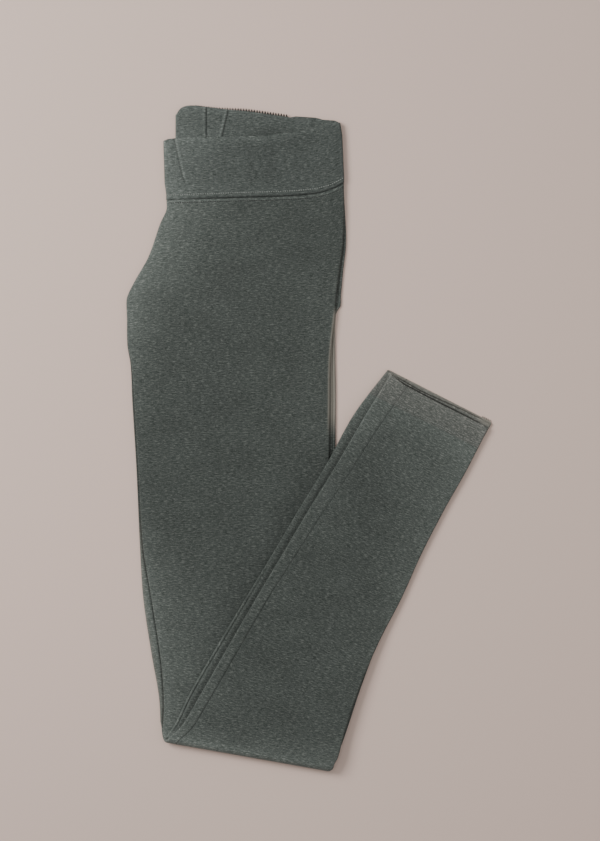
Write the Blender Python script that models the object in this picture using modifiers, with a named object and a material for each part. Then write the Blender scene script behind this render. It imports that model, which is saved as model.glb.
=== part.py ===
"""Knit leggings folded in half lengthwise, laid flat, with the lower legs turned up to one side."""

import math
from collections import namedtuple

import bmesh
import bpy

# Every size is in millimetres. X runs across the waistband, +Y up the legs, +Z away from the table.
MILLIMETRE = 0.001

# Cloth
CLOTH = 1.3  # one layer of knit
GAP = 0.3  # air between layers and at seams
PITCH = CLOTH + GAP
TIGHT = PITCH / 2  # bend radius, at mid-thickness, of one layer turned onto the next
WIDE = 3 * TIGHT  # the same where the front closes round both layers of the back

# Height of each layer's middle, counted from the middle of the turned-up fold.
NEAR_FRONT, NEAR_BACK, FAR_BACK, FAR_FRONT = (PITCH * (n + 0.5) for n in range(4))
FOLD_HEIGHT = FAR_FRONT + CLOTH / 2  # the fold's middle, above the table
STACK_MIDDLE = 2 * PITCH  # between the two backs, counted from the fold's middle

# Waistband
CENTRE_BACK_X = -123.5  # where the taller back turns inside the front
BAND_LEFT = ((0.0, -130.2), (0.2, -133.6), (1.0, -134.8))  # share of its height, X
BAND_RIGHT = ((0.0, 31.7), (0.8, 30.2), (1.0, 28.5))
FRONT_TOP = ((-134.8, 274.6), (-80.0, 276.6), (-41.0, 277.4), (-8.0, 282.0), (10.0, 287.5), (28.5, 291.5))
BACK_TOP = (
    (-123.5, 297.0),
    (-121.5, 301.5),
    (-116.0, 305.0),
    (-106.0, 306.0),
    (-55.0, 299.8),
    (-18.0, 294.5),
    (28.5, 292.0),
)

# Turned-up end of the legs
HEM_DEPTH = 20.0
HEM_STEPS = {"near_low": 0.0, "near_high": 3.2, "far_low": 4.8, "far_high": 6.6}  # short of the ankle
HEM_TAPER = 35.0  # the steps open up over this width from the inseam edge
HEM_CORNER = 0.3  # how much of them is left at that edge
DROP_START = 25.0  # X where the turned-up legs leave the stack below and sink to the table
DROP_REACH = 56.0

# Hidden layers
TUCK = 2.4  # from a leg's outer edge to the layers inside it
LAYER_GROOVE = 6.0
FRONT_STOP = 4.0  # the near front ends this far above the fold, where the turned-up legs cover it

# One row for each section across the legs: the far leg's left and right edges, how far the line between
# them sags, how far inside them the near leg's edges lie, and 1 where the fronts meet at centre front.
Section = namedtuple("Section", "left_x left_y right_x right_y sag near_left near_right joined")

LYING = (
    Section(-130.2, 218.5, 31.7, 235.1, 6.5, 0.0, 0.0, 1.0),  # waist seam
    Section(-130.8, 209.3, 32.0, 220.0, 6.3, 0.0, 0.5, 1.0),
    Section(-137.5, 197.3, 32.9, 205.0, 5.8, 0.0, 1.0, 1.0),
    Section(-148.1, 167.0, 34.0, 178.9, 4.0, 0.0, 3.0, 1.0),  # hip
    Section(-161.0, 144.0, 30.4, 152.3, 2.5, 0.0, 3.5, 1.0),
    Section(-168.4, 128.3, 28.9, 127.0, 1.0, 0.0, 2.0, 0.6),  # crotch
    Section(-168.4, 106.3, 23.3, 112.0, 0.0, 0.3, 1.0, 0.0),
    Section(-168.0, 85.1, 22.6, 85.1, 0.0, 0.5, 3.7, 0.0),
    Section(-165.0, 66.7, 22.8, 66.7, 0.0, 1.0, 4.7, 0.0),
    Section(-163.5, 34.5, 23.2, 34.5, 0.0, 2.0, 6.0, 0.0),  # thigh
    Section(-159.6, -29.9, 23.0, -29.9, 0.0, 2.0, 6.0, 0.0),
    Section(-155.5, -98.9, 22.5, -98.9, 0.0, 1.5, 5.0, 0.0),
    Section(-151.3, -147.7, 22.0, -155.0, 0.0, 5.5, 4.0, 0.0),  # knee
    Section(-144.0, -199.2, 21.3, -213.9, 0.0, 6.0, 3.0, 0.0),
    Section(-137.5, -239.7, 20.4, -261.7, 0.0, 3.5, 2.0, 0.0),
    Section(-135.2, -273.7, 19.8, -299.5, 0.0, 2.0, 1.5, 0.0),  # fold
)
TURNED_UP = (
    Section(-135.2, -273.7, 19.8, -299.5, 0.0, -2.0, 0.5, 0.0),  # fold
    Section(-118.0, -265.5, 26.0, -291.0, 0.0, -7.5, -1.5, 0.0),
    Section(-100.8, -237.1, 32.5, -269.5, 0.0, -9.5, -2.0, 0.0),
    Section(-75.3, -192.8, 46.6, -227.7, 0.0, -9.2, -1.5, 0.0),
    Section(-51.2, -151.1, 64.9, -186.3, 0.0, -8.5, 0.5, 0.0),
    Section(-25.8, -108.5, 85.0, -147.7, 0.0, -8.0, 1.5, 0.0),  # calf
    Section(-1.8, -68.0, 103.3, -107.2, 0.0, -8.0, 2.0, 0.0),
    Section(23.2, -27.6, 123.7, -67.6, 0.0, -8.2, 2.0, 0.0),
    Section(49.1, 16.8, 144.9, -29.9, 0.0, -9.5, 1.0, 0.0),
    Section(74.6, 57.2, 166.8, 13.0, 0.0, -6.0, -1.0, 0.0),  # ankle
)

# Facets
ARC_STEPS = 4
FLAT_STEPS = 10
BEND_STEPS = 8
BAND_ROWS = 5
HEM_ROWS = 2

KNIT = {"body": (0.073, 0.082, 0.077), "band": (0.081, 0.090, 0.085), "hem": (0.112, 0.116, 0.108)}


def mix(a, b, share):
    return a + (b - a) * share


def smooth(share):
    share = min(max(share, 0.0), 1.0)
    return share * share * (3 - 2 * share)


def steps(count):
    return [n / count for n in range(count + 1)]


def read_line(line, x):
    """The height of a line of (x, y) points at x."""
    for (x0, y0), (x1, y1) in zip(line, line[1:]):
        if x <= x1:
            return mix(y0, y1, max(x - x0, 0.0) / (x1 - x0))
    return line[-1][1]


# Sections along the legs


def mix_sections(a, b, share):
    return Section(*(mix(p, q, share) for p, q in zip(a, b)))


def middle(section):
    return (section.left_x + section.right_x) / 2, (section.left_y + section.right_y) / 2


def distances(sections):
    found = [0.0]
    for a, b in zip(sections, sections[1:]):
        found.append(found[-1] + math.dist(middle(a), middle(b)))
    return found


def section_at(sections, distance):
    marks = distances(sections)
    for a, b, start, end in zip(sections, sections[1:], marks, marks[1:]):
        if distance <= end:
            return mix_sections(a, b, (distance - start) / (end - start))
    return sections[-1]


def sections_between(sections, start, end):
    """The sections at start and end, and each row of the table between them."""
    inner = [mark for mark in distances(sections) if start + 1 < mark < end - 1]
    return [section_at(sections, mark) for mark in (start, *inner, end)]


def width(section):
    return math.dist((section.left_x, section.left_y), (section.right_x, section.right_y))


def far_edges(section):
    return 0.0, width(section)


def near_edges(section):
    return section.near_left, width(section) - section.near_right


def flat_laterals(section):
    """Places shared by every layer, so that their facets lie on each other."""
    return [width(section) * share for share in steps(FLAT_STEPS)[1:-1]]


LYING_LENGTH = distances(LYING)[-1]
TURNED_LENGTH = distances(TURNED_UP)[-1]
HEM_START = TURNED_LENGTH - HEM_STEPS["far_high"] - HEM_DEPTH


# Places in the folded garment. A station is a section with the angle that the cloth has turned through:
# none where it lies on the table, half a turn where it is folded back over itself.


def lying_stations(start, end):
    return [(section, 0.0) for section in sections_between(LYING, start, end)]


def bend_stations():
    shares = steps(BEND_STEPS)[1:-1]
    return [(mix_sections(LYING[-1], TURNED_UP[0], share), math.pi * share) for share in shares]


def turned_stations(start, end):
    return [(section, math.pi) for section in sections_between(TURNED_UP, start, end)]


def drop(x):
    """How far the turned-up legs sink beside the stack, until their lowest layer lies on the table."""
    return (FOLD_HEIGHT + GAP / 2) * smooth((x - DROP_START) / DROP_REACH)


def place(station, lateral, reach):
    """A point across a station, lateral from the far leg's left edge and reach from the fold's middle."""
    section, angle = station
    share = lateral / width(section)
    fold = LYING[-1]
    along_x = (fold.right_x - fold.left_x) / width(fold)
    along_y = (fold.right_y - fold.left_y) / width(fold)
    push = reach * math.sin(angle)
    x = mix(section.left_x, section.right_x, share) + along_y * push
    y = mix(section.left_y, section.right_y, share) - along_x * push
    y -= section.sag * 4 * share * (1 - share)
    turned = (1 - math.cos(angle)) / 2
    return x, y, FOLD_HEIGHT - reach * math.cos(angle) - turned * drop(x)


# Shapes across a station, as (lateral, reach) pairs


def edge_arc(edge, inwards, face, outwards, joined):
    """A layer's edge turned onto its neighbour, from its free end to the flat of the layer.

    outwards is -1 for a layer that faces the fold's middle and 1 for one that faces away from it.
    """
    radius = mix(TIGHT, WIDE - GAP, joined)
    centre = face - outwards * radius
    room = abs(STACK_MIDDLE - centre) - GAP / 2
    start = -math.asin(min(room / (radius + CLOTH / 2), 1.0))
    points = []
    for share in steps(ARC_STEPS):
        angle = mix(start, math.pi / 2, share)
        lateral = edge + inwards * (CLOTH / 2 + radius * (1 - math.cos(angle)))
        points.append((lateral, centre + outwards * radius * math.sin(angle)))
    return points


def outer_layer(section, edges, face, outwards):
    """One layer from its left edge to its right edge, both turned over."""
    left, right = edges(section)
    left_arc = edge_arc(left, 1, face, outwards, section.joined)
    right_arc = edge_arc(right, -1, face, outwards, 0.0)
    flat = [(lateral, face) for lateral in flat_laterals(section)]
    return left_arc + flat + right_arc[::-1]


def rounded_edge(edge, inwards, low, high):
    """A half-round edge from reach low to reach high."""
    radius = (high - low) / 2
    points = []
    for share in steps(ARC_STEPS):
        angle = mix(-math.pi / 2, math.pi / 2, share)
        lateral = edge + inwards * radius * (1 - math.cos(angle))
        points.append((lateral, (low + high) / 2 + radius * math.sin(angle)))
    return points


def hidden_ring(section, near_tuck, inner_face):
    """The closed outline of the layers that share one solid, with a groove between the legs."""
    near_left, near_right = near_edges(section)
    far_left, far_right = far_edges(section)
    near_left, near_right = near_left + near_tuck, near_right - near_tuck
    far_left, far_right = far_left + TUCK, far_right - TUCK
    groove_left = max(near_left, far_left) + LAYER_GROOVE
    groove_right = min(near_right, far_right) - LAYER_GROOVE
    groove_low, groove_high = STACK_MIDDLE - GAP / 2, STACK_MIDDLE + GAP / 2
    outer_face = FAR_BACK + CLOTH / 2

    near_l = rounded_edge(near_left, 1, inner_face, groove_low)
    far_l = rounded_edge(far_left, 1, groove_high, outer_face)
    near_r = rounded_edge(near_right, -1, inner_face, groove_low)
    far_r = rounded_edge(far_right, -1, groove_high, outer_face)
    left = near_l + [(groove_left, groove_low), (groove_left, groove_high)] + far_l
    right = near_r + [(groove_right, groove_low), (groove_right, groove_high)] + far_r
    outer = [(lateral, outer_face) for lateral in flat_laterals(section)]
    inner = [(lateral, inner_face) for lateral in flat_laterals(section)[::-1]]
    return left + outer + right[::-1] + inner


def hidden_caps():
    """The faces that close hidden_ring's ends, as indices into it: two rounded ends and quads between."""
    edge = 2 * (ARC_STEPS + 1) + 2
    flat = FLAT_STEPS - 1
    outer = list(range(edge, edge + flat))
    inner = list(range(2 * (edge + flat) - 1, 2 * edge + flat - 1, -1))
    left = (inner[0], *range(edge), outer[0])
    right = (outer[-1], *range(edge + flat, 2 * edge + flat), inner[-1])
    between = [(outer[i], outer[i + 1], inner[i + 1], inner[i]) for i in range(flat - 1)]
    return [left, *between, right]


def tube_ring(section, edges, low, high):
    """The closed middle line of a flattened tube, low layer first, and how high each point is in it."""
    left, right = edges(section)
    middle_reach = (low + high) / 2
    ring = [(lateral, low, 0.0) for lateral in flat_laterals(section)]
    for share in steps(ARC_STEPS):
        turn = math.pi * (share - 0.5)
        lateral = right - CLOTH / 2 - TIGHT * (1 - math.cos(turn))
        ring.append((lateral, middle_reach + TIGHT * math.sin(turn), share))
    ring += [(lateral, high, 1.0) for lateral in flat_laterals(section)[::-1]]
    for share in steps(ARC_STEPS):
        turn = math.pi * (0.5 - share)
        lateral = left + CLOTH / 2 + TIGHT * (1 - math.cos(turn))
        ring.append((lateral, middle_reach + TIGHT * math.sin(turn), 1 - share))
    return ring


def band_line(left, right):
    """The waistband's closed middle line as (x, z, share of the back's height)."""
    near_front, near_back, far_back, far_front = (
        FOLD_HEIGHT - reach for reach in (NEAR_FRONT, NEAR_BACK, FAR_BACK, FAR_FRONT)
    )
    stack_middle = FOLD_HEIGHT - STACK_MIDDLE
    front_start = left + CLOTH / 2 + WIDE
    back_start = CENTRE_BACK_X + CLOTH / 2 + TIGHT
    end = right - CLOTH / 2 - TIGHT
    line = [(mix(end, front_start, share), near_front, 0.0) for share in steps(FLAT_STEPS)[:-1]]
    for share in steps(2 * ARC_STEPS)[:-1]:
        turn = mix(math.pi / 2, -math.pi / 2, share)
        line.append((front_start - WIDE * math.cos(turn), stack_middle + WIDE * math.sin(turn), 0.0))
    line += [(mix(front_start, end, share), far_front, 0.0) for share in steps(FLAT_STEPS)[:-1]]
    line += side_turn(end, far_front, far_back, 0.0, 1.0)
    line += [(mix(end, back_start, share**0.6), far_back, 1.0) for share in steps(FLAT_STEPS)[:-1]]
    for share in steps(ARC_STEPS)[:-1]:
        turn = mix(-math.pi / 2, math.pi / 2, share)
        line.append((back_start - TIGHT * math.cos(turn), stack_middle + TIGHT * math.sin(turn), 1.0))
    line += [(mix(back_start, end, share**1.7), near_back, 1.0) for share in steps(FLAT_STEPS)[:-1]]
    line += side_turn(end, near_back, near_front, 1.0, 0.0)
    return line


def side_turn(x, low, high, low_back, high_back):
    """The right-hand fold between two layers of the waistband."""
    turns = []
    for share in steps(ARC_STEPS)[:-1]:
        turn = mix(-math.pi / 2, math.pi / 2, share)
        z = (low + high) / 2 + TIGHT * math.sin(turn)
        turns.append((x + TIGHT * math.cos(turn), z, mix(low_back, high_back, share)))
    return turns


# Blender objects


def add_object(name, mesh, material):
    mesh.materials.append(material)
    obj = bpy.data.objects.new(name, mesh)
    bpy.data.collections["leggings"].objects.link(obj)
    return obj


def grid_mesh(name, rows, round_and_round, caps=()):
    """Quads between neighbouring rows of points; caps are faces on the first row and on the last."""
    bm = bmesh.new()
    verts = [[bm.verts.new([c * MILLIMETRE for c in point]) for point in row] for row in rows]
    count = len(rows[0])
    for lower, upper in zip(verts, verts[1:]):
        for i in range(count if round_and_round else count - 1):
            j = (i + 1) % count
            bm.faces.new((lower[i], lower[j], upper[j], upper[i]))
    for cap in caps:
        for row in (verts[0], verts[-1]):
            bm.faces.new([row[i] for i in cap])
    bmesh.ops.recalc_face_normals(bm, faces=bm.faces)
    mesh = bpy.data.meshes.new(name)
    bm.to_mesh(mesh)
    bm.free()
    return mesh


def add_wall(name, rows, round_and_round, material):
    """A layer of cloth: the rows are its middle, and Solidify gives it its thickness."""
    obj = add_object(name, grid_mesh(name, rows, round_and_round), material)
    wall = obj.modifiers.new("cloth", "SOLIDIFY")
    wall.thickness = CLOTH * MILLIMETRE
    wall.offset = 0.0
    wall.use_even_offset = True
    return obj


def add_knit(name, color):
    material = bpy.data.materials.new(name)
    material.use_nodes = True
    shader = material.node_tree.nodes["Principled BSDF"]
    shader.inputs["Base Color"].default_value = (*color, 1.0)
    shader.inputs["Roughness"].default_value = 0.92
    shader.inputs["Metallic"].default_value = 0.0
    return material


# Sub-parts


def make_waistband():
    """One tall loop round the waist, front outside, back folded inside and higher."""
    rows = []
    for share in steps(BAND_ROWS):
        row = []
        for x, z, back in band_line(read_line(BAND_LEFT, share), read_line(BAND_RIGHT, share)):
            waist = LYING[0]
            across = (x - waist.left_x) / (waist.right_x - waist.left_x)
            seam = mix(waist.left_y, waist.right_y, across) - waist.sag * 4 * across * (1 - across)
            top = mix(read_line(FRONT_TOP, x), read_line(BACK_TOP, x), back)
            row.append((x, mix(seam, top, share), z))
        rows.append(row)
    return add_wall("waistband", rows, True, add_knit("knit_waistband", KNIT["band"]))


def make_near_leg():
    """The upper leg's front, from the waist seam to where the turned-up legs hide it."""
    rows = []
    for station in lying_stations(GAP, LYING_LENGTH - FRONT_STOP):
        layer = outer_layer(station[0], near_edges, NEAR_FRONT, -1)
        rows.append([place(station, *point) for point in layer])
    return add_wall("near_leg", rows, False, add_knit("knit_near_leg", KNIT["body"]))


def make_far_leg():
    """The lower leg's front: the underside, the fold at the bottom and the top of the turned-up end."""
    stations = lying_stations(GAP, LYING_LENGTH) + bend_stations() + turned_stations(0.0, HEM_START - GAP)
    rows = []
    for station in stations:
        layer = outer_layer(station[0], far_edges, FAR_FRONT, 1)
        rows.append([place(station, *point) for point in layer])
    return add_wall("far_leg", rows, False, add_knit("knit_far_leg", KNIT["body"]))


def make_hidden_layers():
    """The backs of both legs, and the near leg's turned-up end, in one solid with layered edges."""
    back_face, front_face = NEAR_BACK - CLOTH / 2, NEAR_FRONT - CLOTH / 2
    handover = LYING_LENGTH - FRONT_STOP + GAP
    rows = []
    for station in lying_stations(GAP, handover):
        rows.append([place(station, *point) for point in hidden_ring(station[0], TUCK, back_face)])
    full = lying_stations(handover + GAP, LYING_LENGTH) + bend_stations()
    for station in full + turned_stations(0.0, HEM_START - GAP):
        rows.append([place(station, *point) for point in hidden_ring(station[0], 0.0, front_face)])
    mesh = grid_mesh("hidden_layers", rows, True, hidden_caps())
    return add_object("hidden_layers", mesh, add_knit("knit_hidden_layers", KNIT["body"]))


def make_hem(name, edges, low, high, low_step, high_step):
    """The turned hem at a leg's ankle: a flattened tube, its low layer longer than its high one."""
    start_ring = tube_ring(section_at(TURNED_UP, HEM_START), edges, low, high)
    rows = []
    for share in steps(HEM_ROWS):
        row = []
        for i, (lateral, _, height) in enumerate(start_ring):
            opened = mix(HEM_CORNER, 1.0, smooth(lateral / HEM_TAPER))
            end = TURNED_LENGTH - opened * mix(HEM_STEPS[low_step], HEM_STEPS[high_step], height)
            section = section_at(TURNED_UP, mix(HEM_START, end, share))
            lateral, reach, _ = tube_ring(section, edges, low, high)[i]
            row.append(place((section, math.pi), lateral, reach))
        rows.append(row)
    return add_wall(name, rows, True, add_knit("knit_" + name, KNIT["hem"]))


for old in list(bpy.data.objects):
    bpy.data.objects.remove(old)
leggings = bpy.data.collections.new("leggings")
bpy.context.scene.collection.children.link(leggings)

make_waistband()
make_near_leg()
make_far_leg()
make_hidden_layers()
make_hem("near_hem", near_edges, NEAR_FRONT, NEAR_BACK, "near_low", "near_high")
make_hem("far_hem", far_edges, FAR_BACK, FAR_FRONT, "far_low", "far_high")
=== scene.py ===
# Knit leggings folded in half lengthwise and laid flat, with the lower legs turned up to one side.
import math
from collections import namedtuple

import bpy
import numpy as np
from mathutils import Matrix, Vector


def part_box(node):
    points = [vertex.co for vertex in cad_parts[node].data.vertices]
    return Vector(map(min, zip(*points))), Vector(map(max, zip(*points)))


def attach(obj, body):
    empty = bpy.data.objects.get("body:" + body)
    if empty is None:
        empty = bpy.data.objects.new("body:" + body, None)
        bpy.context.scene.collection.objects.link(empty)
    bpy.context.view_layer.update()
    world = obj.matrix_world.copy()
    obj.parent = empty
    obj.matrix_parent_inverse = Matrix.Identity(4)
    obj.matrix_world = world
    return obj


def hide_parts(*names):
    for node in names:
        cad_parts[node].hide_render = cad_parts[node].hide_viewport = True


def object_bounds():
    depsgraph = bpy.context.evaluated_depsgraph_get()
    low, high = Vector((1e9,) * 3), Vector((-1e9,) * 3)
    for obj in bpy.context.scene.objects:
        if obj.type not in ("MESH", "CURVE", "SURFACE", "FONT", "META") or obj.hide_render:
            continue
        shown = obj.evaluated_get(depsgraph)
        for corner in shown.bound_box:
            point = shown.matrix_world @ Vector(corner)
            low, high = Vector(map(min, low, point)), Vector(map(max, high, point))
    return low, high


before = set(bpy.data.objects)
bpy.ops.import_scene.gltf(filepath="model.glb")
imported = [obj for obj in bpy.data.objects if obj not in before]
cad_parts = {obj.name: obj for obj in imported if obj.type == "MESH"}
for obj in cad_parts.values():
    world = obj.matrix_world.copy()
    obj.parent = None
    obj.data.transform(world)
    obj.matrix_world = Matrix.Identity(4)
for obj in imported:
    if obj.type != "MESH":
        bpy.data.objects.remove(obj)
cadLow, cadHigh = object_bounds()
print("frame loaded")

# Sizes here are in millimetres and become metres when a mesh is made. Axes are the frame's own.
mm = 0.001

stack = {
    "air": 0.3,  # between neighbouring layers
    "layers": 4,  # near front, near back, far back, far front
    "foldHeight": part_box("far_leg")[1].z / mm / 2,  # the middle of the turned-up fold
    "dropStart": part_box("near_leg")[1].x / mm - 4,  # where the turned-up legs leave the layers below
    "dropReach": 58.0,
    "leftCorner": (7.5, 14),  # radius at the turned fold, and how far from the fold it fades
    "rightCorner": (5.0, 8),
    "thinning": (0.16, 9, 50),  # towards the folded edges: share, reach, and its fade at the turned fold
    "creaseFade": 40,
}
foldHeight = stack["foldHeight"]
pitch = (foldHeight + stack["air"] / 2) / stack["layers"]
nearFront, nearBack, farBack, farFront = (pitch * (n + 0.5) for n in range(4))
stackMiddle = 2 * pitch


# Small sums

def mix(a, b, share):
    return a + (b - a) * share


def clamp(share):
    return min(max(share, 0.0), 1.0)


def smooth(share):
    share = clamp(share)
    return share * share * (3 - 2 * share)


def within(at, start, end):
    # 1 between two places, each given with the length of its soft end
    return smooth((at - start[0]) / start[1]) * smooth((end[0] - at) / end[1])


def hump(off, halfWidth):
    # 1 in the middle of a line, falling to both sides
    return math.exp(-((off / halfWidth) ** 2))


def fading(distance, reach):
    # 1 at an edge, falling away from it
    return math.exp(-max(distance, 0) / reach)


def readLine(line, x):
    # the value of a short line of (place, value) points at x
    for (x0, y0), (x1, y1) in zip(line, line[1:]):
        if x <= x1:
            return mix(y0, y1, max(x - x0, 0.0) / (x1 - x0))
    return line[-1][1]


def readCurve(line, x):
    # as readLine, rounded where its pieces meet
    reach = 2.5
    return sum(readLine(line, x + k * reach) for k in (-1, -0.5, 0, 0.5, 1)) / 5


def lengthsAlong(points):
    # the distance along a line to each of its points
    lengths = [0.0]
    for p, q in zip(points, points[1:]):
        lengths.append(lengths[-1] + math.dist(p, q))
    return lengths


# Sections across the legs: the far leg's two edges, how far the line between them dips, how far the
# near leg's edges lie inside them, and 1 where the two fronts meet at centre front.
Section = namedtuple("Section", "leftX leftY rightX rightY dip nearLeft nearRight joined")

lyingRows = tuple(Section(*row) for row in (
    (-131.8, 218.5, 31.7, 235.1, 7.8, 0, 0, 1),  # waist seam
    (-131.9, 209.3, 32, 222, 7.4, 0, 0.5, 1),
    (-137.5, 197.3, 32.9, 207, 6.4, 0, 1, 1),
    (-148.1, 167, 33.8, 178.9, 4, 0, 3.2, 1),  # hip
    (-161, 144, 31, 152.3, 2.5, 0, 3.8, 1),
    (-168.4, 128.3, 29, 129, 1, 0, 4.6, 0.8),  # crotch
    (-168.6, 120.3, 28.8, 121.5, 0.5, 0, 5, 0.3),
    (-168.4, 112.3, 24.6, 114.5, 0, 0.2, 1, 0),
    (-168, 85.1, 23.8, 85.1, 0, 0.5, 3.5, 0),
    (-165, 66.7, 23.9, 66.7, 0, 1.2, 4.9, 0),
    (-163.5, 34.5, 24.3, 34.5, 0, 2, 5.7, 0),  # thigh
    (-159.6, -29.9, 23.6, -29.9, 0, 2, 5.6, 0),
    (-156.5, -98.9, 22.5, -98.9, 0, 3, 5, 0),
    (-153.4, -147.7, 22, -155, 0, 7.8, 4, 0),  # knee
    (-145.8, -199.2, 21.3, -213.9, 0, 8.3, 3, 0),
    (-138.8, -239.7, 21, -262.2, 0, 4.6, 2, 0),
    (-137.2, -273.4, 22, -301.6, 0, 2, 1.5, 0),  # fold
))
turnedRows = tuple(Section(*row) for row in (
    (-128.5, -275, 22.6, -301.8, 0, -3, 1.2, 0),  # fold
    (-117.6, -265, 26.8, -291.6, 0, -6.5, 0.6, 0),
    (-100.8, -237.1, 32.5, -269.5, 0, -9.5, -1.6, 0),
    (-75.3, -192.8, 46.6, -227.7, 0, -9.2, -1.5, 0),
    (-51.2, -151.1, 64.9, -186.3, 0, -8.5, 0.5, 0),
    (-25.8, -108.5, 85, -147.7, 0, -8, 1.5, 0),  # calf
    (-1.8, -68, 103.3, -107.2, 0, -8, 2, 0),
    (23.2, -27.6, 123.7, -67.6, 0, -8.2, 2, 0),
    (49.1, 16.8, 144.9, -29.9, 0, -9.5, 1, 0),
    (76, 60.2, 167.2, 13.8, 0, -4.5, -1, 0),  # ankle
))


def widthOf(section):
    return math.dist((section.leftX, section.leftY), (section.rightX, section.rightY))


def marksOf(rows):
    return lengthsAlong([((r.leftX + r.rightX) / 2, (r.leftY + r.rightY) / 2) for r in rows])


lyingMarks, turnedMarks = marksOf(lyingRows), marksOf(turnedRows)
lyingLength, turnedLength = lyingMarks[-1], turnedMarks[-1]


def rowAt(rows, marks, at):
    # a smooth curve through every column of the table
    at = min(max(at, 0.0), marks[-1])
    i = max(k for k in range(len(rows) - 1) if marks[k] <= at)
    span = marks[i + 1] - marks[i]
    t = (at - marks[i]) / span

    def slope(k, column):
        a, b = max(k - 1, 0), min(k + 1, len(rows) - 1)
        return (rows[b][column] - rows[a][column]) / (marks[b] - marks[a]) * span

    values = []
    for column in range(len(rows[0])):
        p, q = rows[i][column], rows[i + 1][column]
        curve = (2 * t**3 - 3 * t**2 + 1) * p + (3 * t**2 - 2 * t**3) * q
        curve += (t**3 - 2 * t**2 + t) * slope(i, column) + (t**3 - t**2) * slope(i + 1, column)
        values.append(curve)
    return Section(*values)


# Creases pressed into the whole stack, as soft ridges (rise above 0) and troughs between two points.
Crease = namedtuple("Crease", "startX startY endX endY halfWidth rise")
creases = tuple(Crease(*row) for row in (
    (-71, 55, -68, -110, 11, 0.10),
    (-112, 30, -104, -115, 12, -0.08),
    (-126, -150, -124, -205, 12, 0.08),
    (9, 165, 6, 60, 9, 0.13),
    (6, 60, -2, -30, 8, 0.08),
    (-22, 150, -30, 20, 13, -0.07),
    (-62, 158, -5, 190, 10, 0.08),
    (-98, 206, -60, 199, 9, -0.06),
    (-140, 120, -138, 20, 14, -0.05),
    (-44, -62, -62, -112, 13, -0.07),
    (2, -88, 82, -130, 8, -0.07),
    (28, -122, 74, -148, 9, 0.05),
    (-78, -225, -84, -262, 7, -0.05),
    (60, -10, 120, -52, 15, -0.04),
    (-40, -245, 20, -225, 14, 0.04),
))


def besideLine(x, y, start, end):
    # how far along a line a point lies, how far off it to the right, and the line's length
    runX, runY = end[0] - start[0], end[1] - start[1]
    length = math.hypot(runX, runY)
    runX, runY = runX / length, runY / length
    fromX, fromY = x - start[0], y - start[1]
    return fromX * runX + fromY * runY, fromX * runY - fromY * runX, length


def pressed(crease, off, past, fade):
    return crease.rise * math.exp(-((off / crease.halfWidth) ** 2) - (past / fade) ** 2)


def creaseRise(x, y):
    total = 0.0
    for c in creases:
        along, off, length = besideLine(x, y, (c.startX, c.startY), (c.endX, c.endY))
        total += pressed(c, off, max(-along, along - length, 0.0), 1.6 * c.halfWidth)
    return total


def dipAt(section, share):
    # how far a section hangs below the straight line between its edges, deepest near its right end
    share = max(share, 0.0)
    return section.dip * 1.48 * share**1.1 * (1 - share**9)


def place(section, angle, lateral, reach, away):
    # a point across a section; angle is how far the cloth has turned, and away how far from the fold
    width = widthOf(section)
    share = lateral / width
    fold = lyingRows[-1]
    foldX, foldY = (fold.rightX - fold.leftX) / widthOf(fold), (fold.rightY - fold.leftY) / widthOf(fold)
    push = reach * math.sin(angle)
    x = mix(section.leftX, section.rightX, share) + foldY * push
    y = mix(section.leftY, section.rightY, share) - foldX * push
    y -= dipAt(section, share)
    corner = 0.0
    insets = (lateral + section.leftX - fold.leftX, width - lateral)
    for inset, (radius, fade) in zip(insets, (stack["leftCorner"], stack["rightCorner"])):
        bite = clamp(1 - inset / radius)
        corner += radius * (1 - math.sqrt(1 - bite * bite)) * smooth(1 - away / fade)
    x -= foldY * corner
    y += foldX * corner
    turned = (1 - math.cos(angle)) / 2
    drop = foldHeight + stack["air"] / 2
    drop *= smooth((x - stack["dropStart"]) / stack["dropReach"]) * turned
    press = creaseRise(x, y) * smooth(away / stack["creaseFade"])
    thinner, thinReach, thinFade = stack["thinning"]
    inset = max(min(lateral, width - lateral), 0.0)
    ease = thinner * hump(inset, thinReach) * smooth(away / thinFade)
    base = mix(foldHeight, (foldHeight - drop) * (1 + press), turned)
    lying = (foldHeight - reach) * (1 + press - ease)
    upper = base + reach * (1 + press - ease)
    middle = foldHeight - reach * math.cos(angle) - drop
    z = mix(lying, upper, turned) if angle in (0.0, math.pi) else middle
    return x, y, z


# Cloth as a closed shell: rows of points round a tube, given a thickness and rounded rims.

def addPiece(name, mesh):
    piece = bpy.data.objects.new(name, mesh)
    bpy.context.scene.collection.objects.link(piece)
    return piece


def unit(vectors):
    return vectors / np.maximum(np.linalg.norm(vectors, axis=-1, keepdims=True), 1e-9)


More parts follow.
